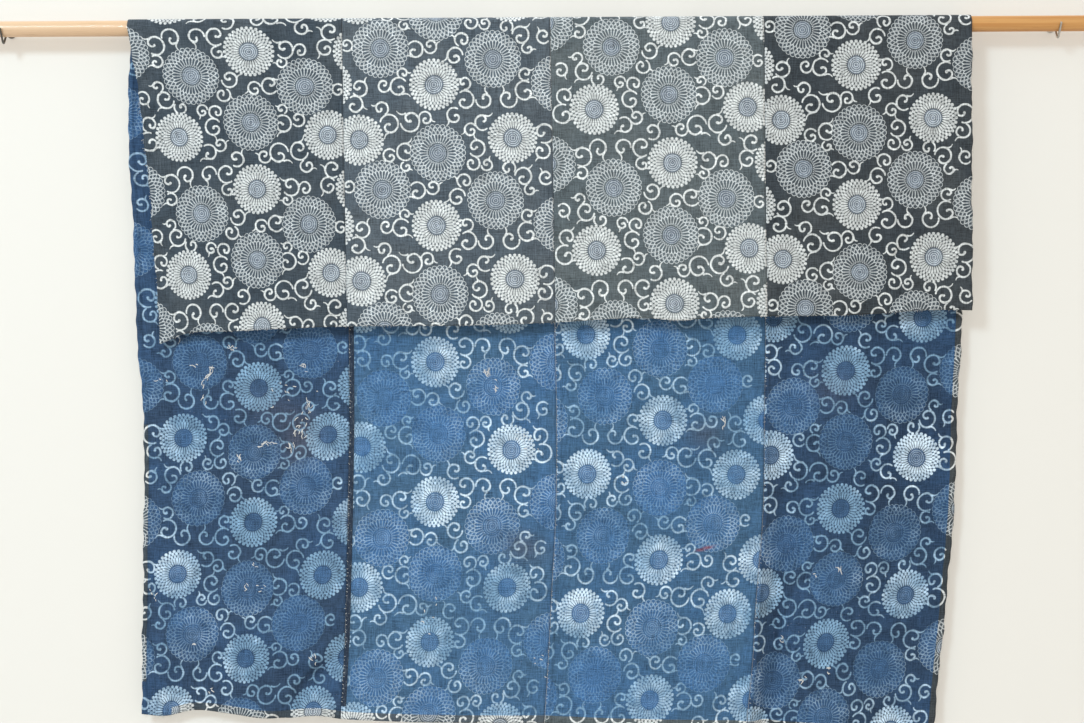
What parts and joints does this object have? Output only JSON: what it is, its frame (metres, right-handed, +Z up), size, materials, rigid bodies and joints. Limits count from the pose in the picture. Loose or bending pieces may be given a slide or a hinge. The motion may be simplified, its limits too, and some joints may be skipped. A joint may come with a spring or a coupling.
{
  "type": "futon cover on a hanging rod with wall hooks",
  "caption": "Indigo resist-dyed futon cover in sewn loom-width panels, patterned with flower roundels and vine scrolls, draped over a round wooden rod that rests in bent wire wall hooks.",
  "frame": {"origin": "on the wall plane, midway between the two hooks and level with the axis of the rod", "axes": "+X to the right along the rod as seen from the front, +Y into the wall, +Z up"},
  "size_m": [1.8, 0.0537, 1.1096],
  "materials": {
    "indigo_cloth_dark": "matte indigo cotton, deeply dyed, printed in resist",
    "indigo_cloth_mid": "matte indigo cotton, more faded, printed in resist",
    "rod_wood": "smooth pale pine, thinly varnished",
    "hook_steel": "plain steel wire"
  },
  "bodies": {
    "root": {"panel_1": "indigo_cloth_dark", "panel_2": "indigo_cloth_mid", "panel_3": "indigo_cloth_mid", "panel_4": "indigo_cloth_dark", "rod": "rod_wood", "hook_left": "hook_steel", "hook_right": "hook_steel"}
  },
  "joints": []
}
